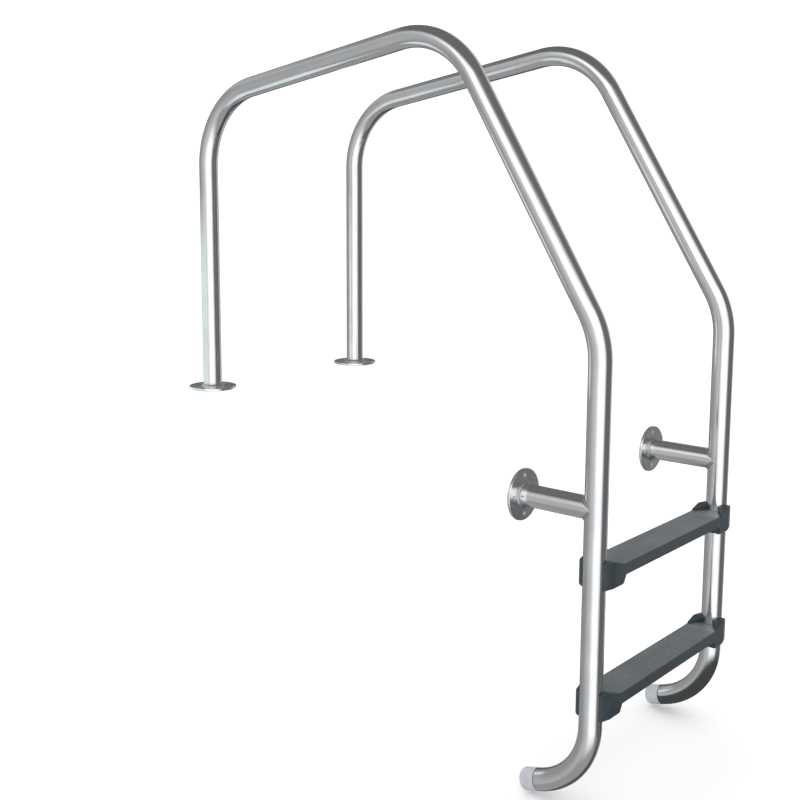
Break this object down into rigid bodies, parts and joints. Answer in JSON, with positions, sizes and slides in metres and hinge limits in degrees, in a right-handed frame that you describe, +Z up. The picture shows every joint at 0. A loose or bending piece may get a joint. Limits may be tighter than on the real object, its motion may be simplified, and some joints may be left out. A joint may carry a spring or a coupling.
{
  "type": "pool ladder with handrails",
  "caption": "Overflow-pool ladder: two bent stainless tube handrails with deck flanges, wall stand-offs, grooved plastic treads and rubber feet.",
  "frame": {"origin": "on the deck surface, midway between the centres of the two deck flanges", "axes": "+Z up, -Y out over the pool, +X to the right for someone in the pool who faces the deck"},
  "size_m": [0.61, 1.124, 1.4663],
  "materials": {
    "polished_steel": "polished stainless steel",
    "weld_steel": "weld bead, brushed and pickled",
    "fastener_steel": "satin stainless",
    "black_plastic": "fine-textured moulding",
    "grey_rubber": "grooved anti-slip",
    "bumper_rubber": "smooth pale rubber"
  },
  "bodies": {
    "root": {"deck_flange_left": "polished_steel", "deck_flange_right": "polished_steel", "deck_weld_left": "weld_steel", "deck_weld_right": "weld_steel", "foot_bumper_left": "bumper_rubber", "foot_bumper_right": "bumper_rubber", "lower_tread_board": "black_plastic", "lower_tread_cap_left": "black_plastic", "lower_tread_cap_right": "black_plastic", "lower_tread_cap_screws": "fastener_steel", "lower_tread_mat": "grey_rubber", "lower_tread_rivet_nuts": "fastener_steel", "lower_tread_screws": "fastener_steel", "lower_tread_washers": "fastener_steel", "rail_left": "polished_steel", "rail_right": "polished_steel", "standoff_weld_left": "weld_steel", "standoff_weld_right": "weld_steel", "upper_tread_board": "black_plastic", "upper_tread_cap_left": "black_plastic", "upper_tread_cap_right": "black_plastic", "upper_tread_cap_screws": "fastener_steel", "upper_tread_mat": "grey_rubber", "upper_tread_rivet_nuts": "fastener_steel", "upper_tread_screws": "fastener_steel", "upper_tread_washers": "fastener_steel", "wall_flange_left": "polished_steel", "wall_flange_right": "polished_steel", "wall_standoff_left": "polished_steel", "wall_standoff_right": "polished_steel", "wall_weld_left": "weld_steel", "wall_weld_right": "weld_steel"}
  },
  "joints": []
}
